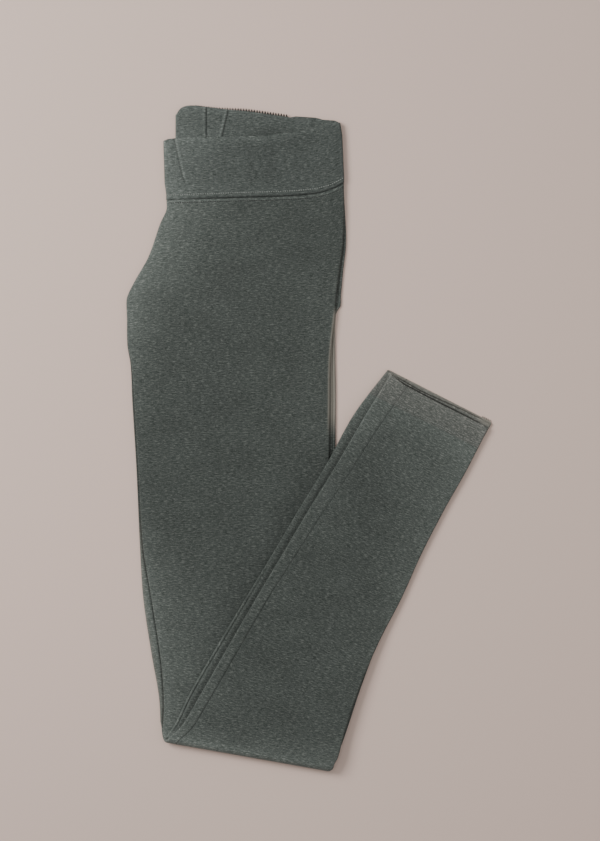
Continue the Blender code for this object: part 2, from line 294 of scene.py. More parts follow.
def clothShell(name, points, u, v, wall, marks, material):
    points = np.array(points, float)
    rows, columns = points.shape[:2]
    across = np.roll(points, -1, 1) - np.roll(points, 1, 1)
    normal = unit(np.cross(across, np.gradient(points, axis=0)))
    out = points - points.mean(1, keepdims=True)
    flip = (normal * out).sum() < 0
    if flip:
        normal = -normal
    half, rimSteps = wall / 2, 6
    outer, inner = points + normal * half, points - normal * half
    rim = [math.pi * k / rimSteps for k in range(1, rimSteps)]
    startOut, endOut = unit(points[0] - points[1]), unit(points[-1] - points[-2])
    endRim = [points[-1] + half * (normal[-1] * math.cos(a) + endOut * math.sin(a)) for a in rim]
    startRim = [points[0] + half * (startOut * math.sin(a) - normal[0] * math.cos(a)) for a in rim]
    sheets = np.concatenate([outer, endRim, inner[::-1], startRim])
    order = list(range(rows)) + [rows - 1] * len(rim) + list(range(rows))[::-1] + [0] * len(rim)

    below = np.arange(len(sheets) * columns).reshape(len(sheets), columns)
    above = np.roll(below, -1, 0)
    quads = np.stack([below, np.roll(below, -1, 1), np.roll(above, -1, 1), above], axis=2)
    uGrid, vGrid = np.array(u, float)[order], np.array(v, float)[order]
    uv = np.stack([uGrid, np.concatenate([vGrid, vGrid[:, :1]], 1)], axis=2) * mm
    uvAbove = np.roll(uv, -1, 0)
    corners = np.stack([uv[:, :-1], uv[:, 1:], uvAbove[:, 1:], uvAbove[:, :-1]], axis=2)
    if flip:
        quads, corners = quads[:, :, ::-1], corners[:, :, ::-1]
    mesh = bpy.data.meshes.new(name)
    mesh.from_pydata((sheets.reshape(-1, 3) * mm).tolist(), [], quads.reshape(-1, 4).tolist())
    layer = mesh.uv_layers.new(name="clothUV")
    layer.data.foreach_set("uv", corners.reshape(-1).astype(np.float32))
    for label, grid in marks.items():
        attribute = mesh.attributes.new(label, "FLOAT", "POINT")
        attribute.data.foreach_set("value", np.array(grid, float)[order].reshape(-1).astype(np.float32))
    mesh.polygons.foreach_set("use_smooth", [True] * len(mesh.polygons))
    mesh.materials.append(material)
    mesh.update()
    print(name, "made")
    return addPiece(name, mesh), outer


# Knit

def feed(tree, node, inputs):
    # each input takes a value, or a link from another node's output
    for key, value in inputs.items():
        if isinstance(value, bpy.types.NodeSocket):
            tree.links.new(value, node.inputs[key])
        else:
            node.inputs[key].default_value = value


def addNode(tree, kind, inputs, **settings):
    node = tree.nodes.new(kind)
    for name, value in settings.items():
        setattr(node, name, value)
    feed(tree, node, inputs)
    return node


def addSockets(tree, way, kind, *names):
    for name in names:
        tree.interface.new_socket(name, in_out=way, socket_type="NodeSocket" + kind)


def calculate(tree, kind, a, b=0.0):
    return addNode(tree, "ShaderNodeMath", {0: a, 1: b}, operation=kind).outputs[0]


def heatherGroup():
    tree = bpy.data.node_groups.new("heatherKnit", "ShaderNodeTree")
    addSockets(tree, "INPUT", "Vector", "Cloth UV")
    addSockets(tree, "INPUT", "Color", "Ground", "Light Fibre", "Dark Fibre", "Highlight Tint", "Painted Rim Color")
    addSockets(tree, "INPUT", "Float", "Fibre Amount", "Patchiness", "Painted Highlight", "Seam Shade", "Rim Highlight")
    addSockets(tree, "OUTPUT", "Color", "Color")
    addSockets(tree, "OUTPUT", "Float", "Height", "Roughness")
    given = tree.nodes.new("NodeGroupInput").outputs

    def noise(scale, seed, detail):
        # scale is how many fibres fit in a metre, across the leg and along it
        put = {"Vector": given["Cloth UV"], "Scale": (*scale, 1), "Location": (seed * 7.3, seed * 3.1, seed)}
        mapping = addNode(tree, "ShaderNodeMapping", put)
        grain = {"Vector": mapping.outputs["Vector"], "Scale": 1.0, "Detail": detail, "Roughness": 0.55}
        return addNode(tree, "ShaderNodeTexNoise", grain).outputs["Fac"]

    def span(value, low, high, toLow=0.0, toHigh=1.0):
        limits = {"Value": value, "From Min": low, "From Max": high, "To Min": toLow, "To Max": toHigh}
        return addNode(tree, "ShaderNodeMapRange", limits, interpolation_type="SMOOTHSTEP").outputs["Result"]

    def times(a, b):
        return calculate(tree, "MULTIPLY", a, b)

    def plus(a, b):
        return calculate(tree, "ADD", a, b)

    def ribs(axis, gauge):
        return calculate(tree, "SINE", times(split.outputs[axis], 2 * math.pi / gauge))

    def blend(kind, factor, a, b):
        node = addNode(tree, "ShaderNodeMix", {}, data_type="RGBA", blend_type=kind, clamp_factor=False)
        at = {socket.identifier: k for k, socket in enumerate(node.inputs)}
        feed(tree, node, {at["Factor_Float"]: factor, at["A_Color"]: a, at["B_Color"]: b})
        return next(s for s in node.outputs if s.identifier == "Result_Color")

    lightFleck = span(noise((240, 980), 1.0, 3.0), 0.50, 0.70)
    darkFleck = span(noise((210, 900), 2.0, 3.0), 0.46, 0.66)
    shortFleck = span(noise((640, 1500), 3.0, 2.0), 0.52, 0.70)
    yarn = noise((700, 2600), 4.0, 2.0)
    patches = noise((26, 40), 5.0, 3.0)
    amount = given["Fibre Amount"]

    color = blend("MIX", times(darkFleck, amount), given["Ground"], given["Dark Fibre"])
    color = blend("MIX", times(lightFleck, amount), color, given["Light Fibre"])
    color = blend("MIX", times(shortFleck, times(amount, 0.8)), color, given["Light Fibre"])
    tone = plus(1.0, times(calculate(tree, "SUBTRACT", patches, 0.5), given["Patchiness"]))
    tone = times(tone, span(yarn, 0.3, 0.7, 0.93, 1.07))
    # painted shade: darker by the Seam Shade mark in grooves, under edges and where one layer lies on another
    tone = times(tone, calculate(tree, "SUBTRACT", 1.0, given["Seam Shade"]))
    grey = addNode(tree, "ShaderNodeCombineColor", {0: tone, 1: tone, 2: tone})
    color = blend("MULTIPLY", 1.0, color, grey.outputs["Color"])
    # painted highlight: lighter by its mark towards lit edges, folds and crests, then the painted rim
    # highlight colour mixed in over the rims
    bloom = blend("MIX", given["Painted Highlight"], (1, 1, 1, 1), given["Highlight Tint"])
    color = blend("MULTIPLY", 1.0, color, bloom)
    color = blend("MIX", given["Rim Highlight"], color, given["Painted Rim Color"])

    # courses and wales of the knit, with fuzz over them
    split = addNode(tree, "ShaderNodeSeparateXYZ", {"Vector": given["Cloth UV"]})
    height = plus(times(ribs("X", 0.0011), 0.16), times(ribs("Y", 0.0009), 0.12))
    for part, weight in ((yarn, 0.9), (lightFleck, 0.5), (patches, 2.2)):
        height = plus(height, times(part, weight))
    rough = span(yarn, 0.3, 0.7, 0.86, 0.98)
    addNode(tree, "NodeGroupOutput", {"Color": color, "Height": height, "Roughness": rough})
    return tree


knitGroup = heatherGroup()


def newMaterial(name):
    material = bpy.data.materials.new(name)
    material.use_nodes = True
    return material, material.node_tree, material.node_tree.nodes["Principled BSDF"]


def knitMaterial(name, look):
    material, tree, shader = newMaterial(name)
    inputs = {socket: (*value, 1) if isinstance(value, tuple) else value for socket, value in look.items()}
    inputs["Cloth UV"] = addNode(tree, "ShaderNodeUVMap", {}, uv_map="clothUV").outputs["UV"]
    # the painted highlight, painted shade and painted rim highlight marks, read from the cloth's attributes
    for label, socket in (("paintedHighlight", "Painted Highlight"), ("seamShade", "Seam Shade"), ("rimHighlight", "Rim Highlight")):
        inputs[socket] = addNode(tree, "ShaderNodeAttribute", {}, attribute_name=label).outputs["Fac"]
    knit = addNode(tree, "ShaderNodeGroup", inputs, node_tree=knitGroup).outputs
    bump = addNode(tree, "ShaderNodeBump", {"Strength": 0.35, "Distance": 0.0006, "Height": knit["Height"]})
    feed(tree, shader, {
        "Normal": bump.outputs["Normal"],
        "Base Color": knit["Color"],
        "Roughness": knit["Roughness"],
        "Specular IOR Level": 0.12,
        "Sheen Weight": 0.16,
        "Sheen Roughness": 0.5,
        "Sheen Tint": (0.93, 1.0, 0.95, 1),
    })
    return material


legKnit = {
    "Ground": (0.045, 0.053, 0.049),
    "Light Fibre": (0.112, 0.124, 0.114),
    "Dark Fibre": (0.022, 0.028, 0.025),
    "Highlight Tint": (2.1, 2.08, 2.08),  # how much lighter the painted highlight makes the cloth
    "Painted Rim Color": (0.235, 0.222, 0.190),  # the painted highlight colour on the cloth's very edge
    "Fibre Amount": 0.8,
    "Patchiness": 0.45,
}
# the waistband is the same knit as the legs, its ground and light fibres painted lighter as painted light
bandKnit = dict(legKnit, Ground=(0.052, 0.061, 0.057))
bandKnit["Light Fibre"] = (0.116, 0.130, 0.121)
# the hems' painted highlight is a little warmer
hemKnit = dict(legKnit, **{"Highlight Tint": (2.3, 2.1, 2.1)})
legMaterial = knitMaterial("legKnit", legKnit)
bandMaterial = knitMaterial("waistbandKnit", bandKnit)
hemMaterial = knitMaterial("hemKnit", hemKnit)


# Legs

legShape = {
    "wall": 1.0,
    "rowStep": 4.0,
    "bendSteps": 16,
    "noseSteps": 10,
    "hemDepth": 20.0,
    "hemRows": 26,
    "hemWall": 1.2,
    "hemGap": 0.1,  # between the leg's last row and the hem's first
    "seamGap": 0.5,  # half the groove at the waist seam
    "seamRows": (0.0, 0.6, 1.4),  # close rows from the groove on
    "stitchesAt": 3.5,
    "firstRow": 5.5,
    "seamSink": (0.65, 0.2, 0.0),  # the cloth turns down into the groove
    # painted shade in the waist seam's groove, and painted highlight on the rows just beside it
    "seamShade": (0.7, 0.15, 0.0),
    "seamBloom": (0.15, 0.4, 0.1),
    "frontTuck": 1.9,  # how far the two fronts roll in where they meet at centre front
}
beside = (-2.2, -1.2, -0.6, 0.0, 0.6, 1.2, 2.2)  # the close columns beside a pressed line
hemSteps = {  # how far short of the ankle each layer ends, by share of the width
    "nearLow": ((0, 0), (1, 0)),
    "nearHigh": ((0, 1.2), (0.12, 3.2), (0.35, 4.4), (0.55, 3.4), (0.75, 2.4), (1, 2)),
    "farLow": ((0, 2.6), (0.15, 5.6), (0.4, 6.2), (1, 6)),
    "farHigh": ((0, 3.2), (0.15, 6), (0.4, 6.6), (1, 6.4)),
}
hemStart = turnedLength - max(short for at, short in hemSteps["farHigh"]) - legShape["hemDepth"]
turnStart = lyingLength  # distances along a leg count on from here once it is turned up


def afterTurn(*points):
    # points of a line, with their places counted from the fold
    return tuple((turnStart + at, value) for at, value in points)


# Lines pressed into one layer: where across it, how deep, and how dark its painted shade is, along the leg.
Line = namedtuple("Line", "layer side inset depth halfWidth shade ridge")
farLines = (
    Line(
        "front", "left",
        ((0, 4), (300, 8), *afterTurn((0, 10), (150, 10), (300, 15.5), (390, 20))),
        ((0, 0), (100, 0), (130, 0.5), *afterTurn((160, 0.5), (220, 0.35), (400, 0.4))),
        0.7,
        ((0, 0.3), *afterTurn((130, 0.42), (200, 0.26), (260, 0.15), (400, 0.3))),
        0.35,
    ),
    Line(
        "back", "right",
        ((0, 2.6), *afterTurn((0, 2.6))),
        ((0, 0), (60, 0.3), (110, 0.9), (250, 0.9), (300, 0)),
        0.6,
        ((0, 0.3), (100, 0.05), (220, 0.2), (300, 0.4)),
        0.2,
    ),
)
nearLines = (
    Line(
        "back", "left",
        ((0, 2.5), *afterTurn((400, 2.5))),
        ((0, 0), *afterTurn((3, 0), (16, 0.7), (120, 0.6), (190, 0))),
        0.6,
        ((0, 0), *afterTurn((4, 0), (16, 0.5), (120, 0.4), (190, 0))),
        0.35,
    ),
    Line(
        "front", "left",
        ((0, 9), *afterTurn((300, 15), (390, 20))),
        ((0, 0), *afterTurn((10, 0), (40, 0.5), (400, 0.5))),
        0.7,
        ((0, 0), *afterTurn((10, 0), (40, 0.3), (400, 0.3))),
        0.35,
    ),
)
farLeg = {
    "front": farFront,
    "back": farBack,
    "side": 1,
    "lines": farLines,
    "columns": {"front": (5, 56), "back": (4, 50)},
}
nearLeg = {
    "front": nearFront,
    "back": nearBack,
    "side": -1,
    "lines": nearLines,
    "columns": {"front": (6, 56), "back": (46, 4)},
}


def frontCount(leg):
    return sum(leg["columns"]["front"]) + len(beside)


def legEdges(leg, section):
    width = widthOf(section)
    if leg is farLeg:
        return 0.0, width
    return section.nearLeft, width - section.nearRight


def nose(edge, inward, start, end, tip, depth):
    # one layer turned onto the other round a folded edge
    points = []
    for k in range(1, legShape["noseSteps"]):
        turn = math.pi / 2 - math.pi * k / legShape["noseSteps"]
        towards = start if turn > 0 else end
        lateral = edge + inward * (legShape["wall"] / 2 + depth * (1 - math.cos(turn)))
        points.append((lateral, tip + (towards - tip) * abs(math.sin(turn))))
    return points


def spread(start, end, line, counts):
    # places from start to end, close together beside the line
    low, high = min(start, end), max(start, end)
    last = len(beside)
    tight = [min(max(line + d, low + 0.02 * (k + 1)), high - 0.02 * (last - k)) for k, d in enumerate(beside)]
    if start > end:
        tight = tight[::-1]
    places = []
    for a, b, count in ((start, tight[0], counts[0]), (tight[-1], end, counts[1])):
        for k in range(count):
            t = k / count
            places.append(mix(a, b, t - 0.75 * math.sin(2 * math.pi * t) / (2 * math.pi)))
        if a == start:
            places += tight[:-1]
    return places + [end]


def legRing(leg, section, along):
    # the closed middle line round one leg, as (lateral, reach, level, shade)
    left, right = legEdges(leg, section)
    front, back, wall = leg["front"], leg["back"], legShape["wall"]
    joined = clamp(section.joined)
    middle = (front + back) / 2
    leftTip = mix(middle, stackMiddle + leg["side"] * (wall + stack["air"]) / 2, joined)
    leftDepth, rightDepth = mix(pitch / 2, legShape["frontTuck"], joined), pitch / 2
    a, b = left + wall / 2 + leftDepth, right - wall / 2 - rightDepth
    rightTurn = (right, -1, front, back, middle, rightDepth)
    leftTurn = (left, 1, back, front, leftTip, leftDepth)
    ring = []
    for layer, level, ends, turn in (("front", 0.0, (a, b), rightTurn), ("back", 1.0, (b, a), leftTurn)):
        reach = leg[layer]
        line = next(x for x in leg["lines"] if x.layer == layer)
        inset = readLine(line.inset, along)
        spot = left + inset if line.side == "left" else right - inset
        depth = readCurve(line.depth, along)
        into = 1 if middle > reach else -1
        for lateral in spread(*ends, spot, leg["columns"][layer]):
            off = (lateral - spot) / line.halfWidth
            dent = math.exp(-off * off) - line.ridge * math.exp(-((abs(off) - 2.2) ** 2))
            shade = readCurve(line.shade, along) * min(depth / 0.4, 1.0) * math.exp(-(off**2) * 0.8)
            ring.append((lateral, reach + into * depth * dent, level, shade))
        for k, (lateral, reachThere) in enumerate(nose(*turn)):
            share = (k + 1) / legShape["noseSteps"]
            ring.append((lateral, reachThere, abs(level - share), 0.0))
    return ring


# How much painted highlight the folded edges get, along the leg: (place, amount) and (place, width)
leftBloom = ((0, 1.1), (91, 1), (125, 0.8), (155, 0.55), (220, 0.15), (303, 0.15), (376, 0.6), (513, 0.5))
leftReach = ((0, 30), (91, 30), (155, 18), (220, 9), (303, 9), (376, 36), (441, 55), (513, 55))
rightBloom = ((0, 0), (60, 0.1), (91, 0.25), (200, 0.25), (260, 0.1), (513, 0.05))
crotchAt = 112  # along the leg
stretches = {  # where a mark starts and ends, each with the length of its soft end
    "paintedHighlight": ((300, 40), (turnStart, 25)),
    "thighRim": ((110, 8), (232, 26)),
    "kneeRim": ((290, 40), (turnStart, 12)),
    "thighContact": ((106, 8), (220, 30)),
    "lyingContact": ((30, 40), (turnStart, 14)),
    "turnedContact": ((3, 10), (turnedLength, 32)),
}


def lyingBloom(leg, left, right, inset, along):
    bloom = readCurve(leftBloom, along) * fading(left, readCurve(leftReach, along))
    bloom += readCurve(rightBloom, along) * fading(right, 22)
    bloom += 0.3 * within(along, *stretches["paintedHighlight"]) * (1 if leg is farLeg else fading(inset, 6))
    if leg is farLeg and along < crotchAt:
        bloom += 0.5 * fading(right, 3)
    return bloom


def turnedBloom(leg, right, inset, up):
    bloom = 0.07 * fading(inset, 10)
    crest = 0.14 if leg is farLeg else 0.28 * smooth((150 - up) / 60) + 0.06
    bloom += crest * hump(inset - 1.0, 1.3)
    if leg is nearLeg:
        bloom += 0.35 * hump(inset - 4.0, 0.9) * smooth((170 - up) / 50)
    bloom += 0.2 * fading(inset, 18) * (smooth((110 - up) / 60) + 1.3 * smooth((up - 270) / 60))
    bloom += mix(0.1, 0.45, smooth(up / 200)) * fading(right, 28)
    return bloom + 0.85 * fading(turnedLength - up, 40)


# the painted highlight at a point of a leg: lighter towards its folded edges and crests, at the fold and at
# the ankle
def bloomAt(leg, section, lateral, along):
    inset = max(lateral - legEdges(leg, section)[0], 0.0)
    right = max(widthOf(section) - lateral, 0.0)
    if along <= turnStart:
        left = lateral if along < turnStart else inset
        bloom = lyingBloom(leg, left, right, inset, along)
    else:
        bloom = turnedBloom(leg, right, inset, along - turnStart)
    fromFold = abs(along - turnStart)
    return min(bloom + 0.5 * fading(fromFold, 9) + 0.16 * fading(fromFold, 40), 1.4)


def rimAt(leg, section, lateral, level, along):
    # painted highlights on the rims of the stacked edges: the thigh's right side and the knee's left side
    if along >= turnStart:
        return 0.0
    right = widthOf(section) - lateral
    thigh = within(along, *stretches["thighRim"])
    if leg is nearLeg:
        return 0.72 * thigh * hump(right - section.nearRight - 0.7, 1.0)
    highlight = 0.58 + 0.35 * hump(right - 3.8, 0.7) + 0.4 * hump(right - 1.0, 0.9)
    highlight *= thigh * smooth((7.5 - right) / 1.5)
    highlight += 0.4 * within(along, *stretches["kneeRim"]) * fading(lateral, 1.6)
    return highlight * level


# how dark the painted shade is on the cloth where it goes under the turned-up far leg, by distance from the
# fold
underTurned = ((0, 0.26), (110, 0.28), (170, 0.36), (250, 0.34), (300, 0.24), (350, 0.06), (440, 0.03))


def contactShade(leg, section, lateral, level, along):
    # the painted shadow, a dark line, where one leg's edge lies on the other
    width = widthOf(section)
    if leg is nearLeg and along < turnStart:
        turning = smooth((level - 0.2) / 0.3) * (level < 1.0)
        return 0.6 * turning * smooth((along - 290) / 40) * (lateral < width / 2)
    if leg is nearLeg:
        up = along - turnStart
        wide = 0.14 * smooth((lateral + 6.0) / 2.5) * smooth((150 - up) / 50)
        deep = readLine(underTurned, up) * hump(lateral + 1.5, 2.0)
        return max(deep, wide) * level * within(up, *stretches["turnedContact"])
    lower = smooth((along - 285) / 40)
    shade = mix(0.35, 0.72, lower) * hump(lateral - section.nearLeft + 0.5, mix(0.8, 1.1, lower))
    thigh = within(along, *stretches["thighContact"])
    shade += mix(0.18, 0.05, thigh) * hump(lateral - width + section.nearRight - 0.4, 0.8)
    return shade * level * within(along, *stretches["lyingContact"])


valley = {"start": (-118, -250), "end": (6, -22), "shade": 0.17, "reach": 8.0}


def valleyShade(x, y):
    # painted shade on the lying cloth where it dips towards the turned-up legs' left edge
    along, off, length = besideLine(x, y, valley["start"], valley["end"])
    return valley["shade"] * fading(-off, valley["reach"]) * within(along / length, (0, 0.35), (1.1, 0.2))


def turnedStation(at):
    return rowAt(turnedRows, turnedMarks, at), math.pi, turnStart + at, at


def stationsAlong(first, last):
    # (section, angle, distance along the leg, distance from the fold) from the waist seam to the hem
    found = []
    count = round((lyingLength - first) / legShape["rowStep"])
    early = [first + rise for rise in legShape["seamRows"]] + [legShape["stitchesAt"]]
    for at in early + [mix(legShape["firstRow"], lyingLength, k / count) for k in range(count + 1)]:
        found.append((rowAt(lyingRows, lyingMarks, at), 0.0, at, lyingLength - at))
    for k in range(1, legShape["bendSteps"]):
        share = k / legShape["bendSteps"]
        section = Section(*(mix(p, q, share) for p, q in zip(lyingRows[-1], turnedRows[0])))
        found.append((section, math.pi * share, turnStart, 0.0))
    count = round(last / legShape["rowStep"])
    return found + [turnedStation(last * k / count) for k in range(count + 1)]


def gridOf(leg, stations, endOf=None):
    # rows of points round a leg, with their places on the cloth and their masks
    points, u, v, shades, blooms, rims = [], [], [], [], [], []
    for section, angle, along, away in stations:
        ring = legRing(leg, section, along)
        row, vRow = [], []
        for lateral, reach, level, shade in ring:
            here, distance = section, away
            if endOf:
                distance = endOf(section, lateral, level, away)
                here = rowAt(turnedRows, turnedMarks, distance)
                lateral *= widthOf(here) / widthOf(section)
            row.append(place(here, angle, lateral, reach, distance))
            vRow.append(min(along, turnStart) + reach * angle + (distance if angle == math.pi else 0.0))
        around = lengthsAlong(row + row[:1])
        points.append(row)
        u.append([a - around[len(ring) // 4] for a in around])
        v.append(vRow)
        shades.append([min(r[3] + contactShade(leg, section, r[0], r[2], along), 0.8) for r in ring])
        if leg is nearLeg and angle == 0.0:
            shades[-1] = [min(s + valleyShade(x, y), 0.85) for s, (x, y, z) in zip(shades[-1], row)]
        blooms.append([bloomAt(leg, section, r[0], along) for r in ring])
        rims.append([rimAt(leg, section, r[0], r[2], along) for r in ring])
    return points, u, v, {"seamShade": shades, "paintedHighlight": blooms, "rimHighlight": rims}


def seamDark(x):
    # how dark the painted shade in the waist seam's groove is: weaker towards both ends, where the groove
    # closes up
    return mix(0.45, 1.0, smooth((x + 118) / 30)) * mix(1.0, 0.6, smooth((x - 8) / 14))


def makeLeg(name, leg):
    points, u, v, marks = gridOf(leg, stationsAlong(legShape["seamGap"], hemStart - legShape["hemGap"]))
    # painted shade in the waist seam's groove, and painted highlight on the rows beside it
    for shadeRow, row, dark in zip(marks["seamShade"], points, legShape["seamShade"]):
        shadeRow[:] = [dark * seamDark(x) for x, y, z in row]
    for bloomRow, light in zip(marks["paintedHighlight"][1:], legShape["seamBloom"]):
        bloomRow[:] = [b + light for b in bloomRow]
    for row, sink in zip(points, legShape["seamSink"]):
        row[:] = [(x, y, z + (sink if leg is farLeg and z < stackMiddle else -sink)) for x, y, z in row]
    return clothShell(name, points, u, v, legShape["wall"], marks, legMaterial)


def makeHem(name, leg, low, high, cover):
    # low and high name the ends of its two layers, and cover the ends of the layers over them
    def stepAt(label, section, lateral):
        left, right = legEdges(leg, section)
        return readLine(hemSteps[label], (lateral - left) / (right - left))

    def endOf(section, lateral, level, away):
        upper = 1 - level if leg is farLeg else level
        short = mix(stepAt(low, section, lateral), stepAt(high, section, lateral), upper)
        share = (away - hemStart) / (turnedLength - hemStart)
        return mix(hemStart + legShape["hemGap"], turnedLength - short, share)

    count = legShape["hemRows"]
    closing = [1 - (1 - k / count) ** 1.7 for k in range(count + 1)]  # rows close up towards the open end
    stations = [turnedStation(mix(hemStart, turnedLength, share)) for share in closing]
    points, u, v, marks = gridOf(leg, stations, endOf)
    shades, blooms, rims = marks["seamShade"], marks["paintedHighlight"], marks["rimHighlight"]
    for r, (section, angle, along, away) in enumerate(stations):
        for k, (lateral, reach, level, shade) in enumerate(legRing(leg, section, along)):
            upper = 1 - level if leg is farLeg else level
            fromEnd = turnedLength - endOf(section, lateral, level, away)
            share = lateral / widthOf(section)
            # painted shadow on this layer just past the edge of the layer over it
            edge = mix(*(stepAt(label, section, lateral) if label else -9 for label in cover), upper)
            past = smooth((edge + 0.5 - fromEnd) / 0.8) * smooth((fromEnd - edge + 2.2) / 0.9)
            past *= (1 - 0.6 * smooth((share - 0.86) / 0.08)) * smooth((share - 0.02) / 0.1)
            shades[r][k] = min(shades[r][k] + 0.75 * past, 0.85)
            # painted highlights: along the near hem's edge and towards its right corner, and beside the far
            # hem's edge
            if leg is nearLeg:
                highlight = 0.5 * fading(fromEnd, 1.6) + 0.4 * smooth((share - 0.84) / 0.1) * (1 - past)
                rims[r][k] = max(rims[r][k], highlight * fading(fromEnd - 4, 2))
            else:
                blooms[r][k] += 0.22 * hump(fromEnd - edge - 1.4, 1.3) * upper
            x, y, z = points[r][k]
            flare = (0.25 + 0.35 * upper) * math.exp(-fromEnd / 5) * (2 if leg is farLeg else 1)
            points[r][k] = (x, y, z + flare)
    return clothShell(name, points, u, v, legShape["hemWall"], marks, hemMaterial)


farPiece, farOuter = makeLeg("farLeg", farLeg)
nearPiece, nearOuter = makeLeg("nearLeg", nearLeg)
farHem, farHemOuter = makeHem("farHem", farLeg, "farLow", "farHigh", ("farHigh", None))
nearHem, nearHemOuter = makeHem("nearHem", nearLeg, "nearLow", "nearHigh", ("nearHigh", "farLow"))


# Waistband: one tall loop, front outside, back folded inside it and higher

band = {
    "wall": 1.25,
    "leftEdge": ((0.0, -132.1), (0.2, -133.6), (1.0, -134.8)),  # share of its height, X
    "rightEdge": ((0.0, 31.9), (0.8, 30.2), (1.0, 28.5)),
    "centreBack": -123.5,
    "frontTop": (
        (-134.8, 272.6), (-132, 274.6), (-123, 275.6), (-80, 276.6), (-41, 277.4),
        (-8, 282), (10, 287.5), (22, 291), (25, 291.4), (28.5, 288.5),
    ),
    "backTop": (
        (-123.5, 294), (-122, 300.5), (-118, 304.2), (-112, 306), (-104, 305.8),
        (-80, 302.6), (-55, 300.2), (-18, 294.8), (25, 291.9), (28.5, 288.7),
    ),
    "ridge": ((0, -111.5), (0.2, -113.8), (0.32, -116.0), (0.62, -119.3), (1, -123.4)),  # of the fold beneath
    "ridgeDrop": 1.1,
    "lift": 1.3,  # how far the front's top edge stands off the back, in the middle
    "sideLift": 0.25,
    "liftHeight": 22,  # below the edge
    "liftSpan": (-32, 46),  # middle and half width
    "creaseStart": (6, 12),  # above the seam
    "foldReach": 2.2,  # of the left fold
    "allowance": (-93.6, -76.0),  # the centre back seam's allowance, on the inside
    "allowanceLean": 17.0,
    "rows": 30,
    "seamRises": (0.0, 0.6, 1.5, 3.7),  # close rows above the seam, the last under its stitches
    "firstRow": 5.5,
    "gauge": 400,  # where its knit pattern starts
}
bandCreases = tuple(Crease(*row) for row in (
    (-53, 268, -52, 235, 5, -0.05),
    (-44, 268, -43, 235, 5, 0.07),
    (-34, 268, -33, 233, 5, -0.07),
    (-96, 268, -92, 240, 14, 0.06),
    (-4, 276, 2, 240, 12, 0.08),
    (-70, 262, -66, 228, 9, -0.03),
))


def bandCrease(x, y):
    total = 0.0
    for c in bandCreases:
        off = x - mix(c.startX, c.endX, clamp((c.startY - y) / (c.startY - c.endY)))
        total += pressed(c, off, max(y - c.startY, c.endY - y, 0.0), 12)
    return total


def seamY(x):
    waist = lyingRows[0]
    share = clamp((x - waist.leftX) / (waist.rightX - waist.leftX))
    return mix(waist.leftY, waist.rightY, share) - dipAt(waist, share)


def flapEdges(share):
    left, right = band["allowance"]
    return left, max(right - band["allowanceLean"] * (1 - share), left + 6)


def bandSide(edge, side, low, high, back, steps=10, reach=pitch / 2):
    # one layer turned onto the next, with how far it has gone over to the back
    turns = []
    for k in range(1, steps):
        turn = -math.pi / 2 + math.pi * k / steps
        z = mix(low, high, (math.sin(turn) + 1) / 2)
        turns.append((edge + side * reach * math.cos(turn), z, mix(*back, k / steps), "side", 0.0))
    return turns


def bandLoop(share):
    # the closed line round the waistband at one height, as (x, z, 1 on the back, layer, rise inside)
    left, right = readLine(band["leftEdge"], share), readLine(band["rightEdge"], share)
    levels = [foldHeight - reach for reach in (nearFront, nearBack, farBack, farFront)]
    ridge = readLine(band["ridge"], share)
    fade = smooth((share - 0.08) / 0.2)

    def frontZ(x):
        off = x - ridge
        step = band["ridgeDrop"] * (1 - smooth((off + 2.4) / 2.8)) * fade
        return levels[0] - step + 0.35 * hump(off - 0.6, 1.3) * fade + 0.25 * hump(off + 5.5, 1.2) * fade

    def insideZ(x):
        flap = 0.75 * (smooth((x - flapLeft + 0.4) / 0.9) - smooth((x - flapRight - 0.2) / 0.9))
        return flap - 0.7 * hump(x - flapLeft + 1.3, 0.8) + 0.35 * hump(x - flapRight + 0.6, 0.7)

    inset = (band["wall"] + pitch) / 2
    start = left + band["wall"] / 2 + band["foldReach"]
    backStart, end = band["centreBack"] + inset, right - inset
    flapLeft, flapRight = flapEdges(share)
    flapMiddle = mix(flapLeft, flapRight, 0.5)
    loop = [(x, frontZ(x), 0.0, "nearFront", 0.0) for x in spread(end, start, ridge, (48, 8))]
    loop += bandSide(start, -1, frontZ(start), levels[3], (0, 0), 14, band["foldReach"])
    loop += [(x, levels[3], 0.0, "farFront", 0.0) for x in spread(start, end, ridge, (8, 40))]
    loop += bandSide(end, 1, levels[3], levels[2], (0, 1))
    loop += [(x, levels[2], 1.0, "farBack", 0.0) for x in spread(end, backStart, -86, (36, 10))]
    loop += bandSide(backStart, -1, levels[2], levels[1], (1, 1))
    inside = spread(backStart, flapMiddle, flapLeft, (12, 4))[:-1]
    inside += spread(flapMiddle, end, flapRight, (4, 42))
    loop += [(x, levels[1], 1.0, "nearBack", insideZ(x)) for x in inside]
    loop += bandSide(end, 1, levels[1], levels[0], (1, 0))
    return loop


def frontMarks(x, y, share, seam, front):
    # painted shade and highlight of the outside: the fold beneath and the soft vertical hollows
    off = x - readLine(band["ridge"], share)
    fade = smooth((share - 0.08) / 0.15)
    hollow = within(y, (seam + 6, 10), (front - 4, 10))
    dark = 0.45 * fade * hump(off + 1.2, 0.9) + 0.16 * fade * hump(off + 6.8, 1.0)
    dark += hollow * 0.13 * hump(x + 53, 4.5) + hollow * 0.15 * hump(x + 34, 4.0)
    return dark, 0.4 * fade * hump(off - 0.5, 0.8)


def insideMarks(x, y, share, front):
    # painted shade and highlight of the inside: the seam allowance's edges, and the painted shadow of the
    # front's edge
    flapLeft, flapRight = flapEdges(share)
    dark = 0.25 * hump(x + 38, 18) * hump(y - front, 9)
    dark += 0.7 * hump(x - flapLeft + 1.2, 1.0) + 0.4 * hump(x - flapRight - 1.3, 0.9)
    dark += 0.3 * (hump(x + 5.2, 1.1) + hump(x - 3.4, 1.1))
    return dark, 0.5 * hump(x - flapRight + 0.5, 0.9) + 0.3 * hump(x - flapLeft + 3.4, 1.0)


